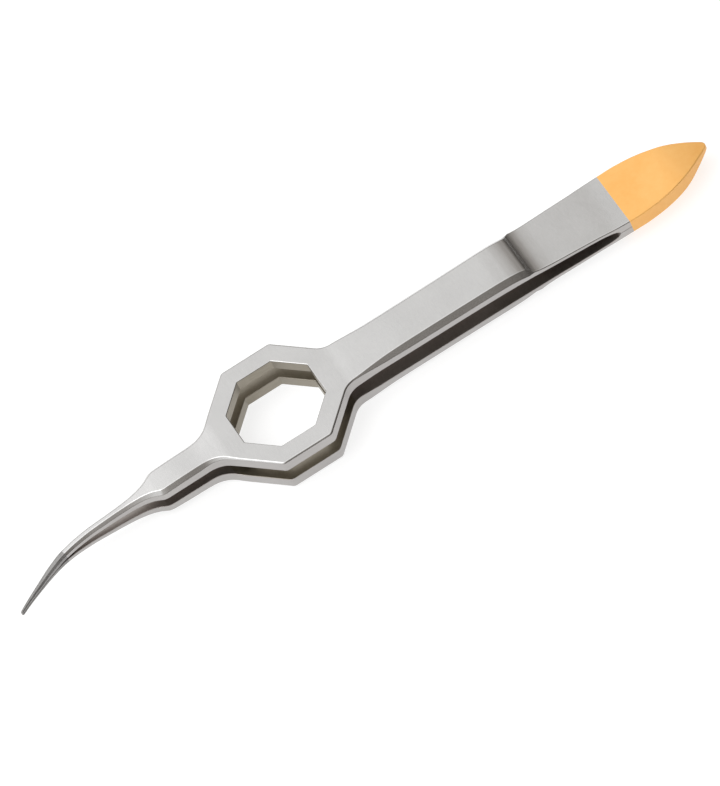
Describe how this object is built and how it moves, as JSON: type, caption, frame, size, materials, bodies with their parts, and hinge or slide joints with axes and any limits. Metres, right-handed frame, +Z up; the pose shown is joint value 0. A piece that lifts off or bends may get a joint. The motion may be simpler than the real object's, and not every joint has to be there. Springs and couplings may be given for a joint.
{
  "type": "ring-grip stamp tongs",
  "caption": "Spring-steel tongs with an octagonal finger ring in each arm, fine curved points and a pointed gilded heel.",
  "frame": {"origin": "centre of the tongs' footprint, on the surface that they lie on", "axes": "+X along the tongs towards the gilded heel, +Z up through the finger rings, and the points curve towards -Y"},
  "size_m": [0.14, 0.023, 0.0078],
  "materials": {
    "steel": "satin, finely ground",
    "gilding": "satin gold plate"
  },
  "bodies": {
    "lower_arm": {"lower_blade": "steel"},
    "heel": {"upper_heel_end": "gilding", "lower_heel_end": "gilding", "heel_weld": "gilding", "upper_spring_leaf": "steel", "lower_spring_leaf": "steel"},
    "upper_arm": {"upper_blade": "steel"}
  },
  "joints": [
    {"name": "lower_leaf_flex", "type": "hinge", "parent": "lower_arm", "child": "heel", "pos_m": [0.042, 0, 0.00224], "axis": [0, 1, 0], "range_deg": [0, 2.3], "stiffness_Nm_per_rad": 1, "springref_deg": 2.29, "deforming": ["lower_spring_leaf"]},
    {"name": "upper_leaf_flex", "type": "hinge", "parent": "heel", "child": "upper_arm", "pos_m": [0.042, 0, 0.00556], "axis": [0, 1, 0], "range_deg": [0, 2.3], "stiffness_Nm_per_rad": 1, "springref_deg": 2.29, "deforming": ["upper_spring_leaf"]}
  ],
  "couplings": [
    {"joint": "lower_leaf_flex", "follows": "upper_leaf_flex", "ratio": 1}
  ]
}
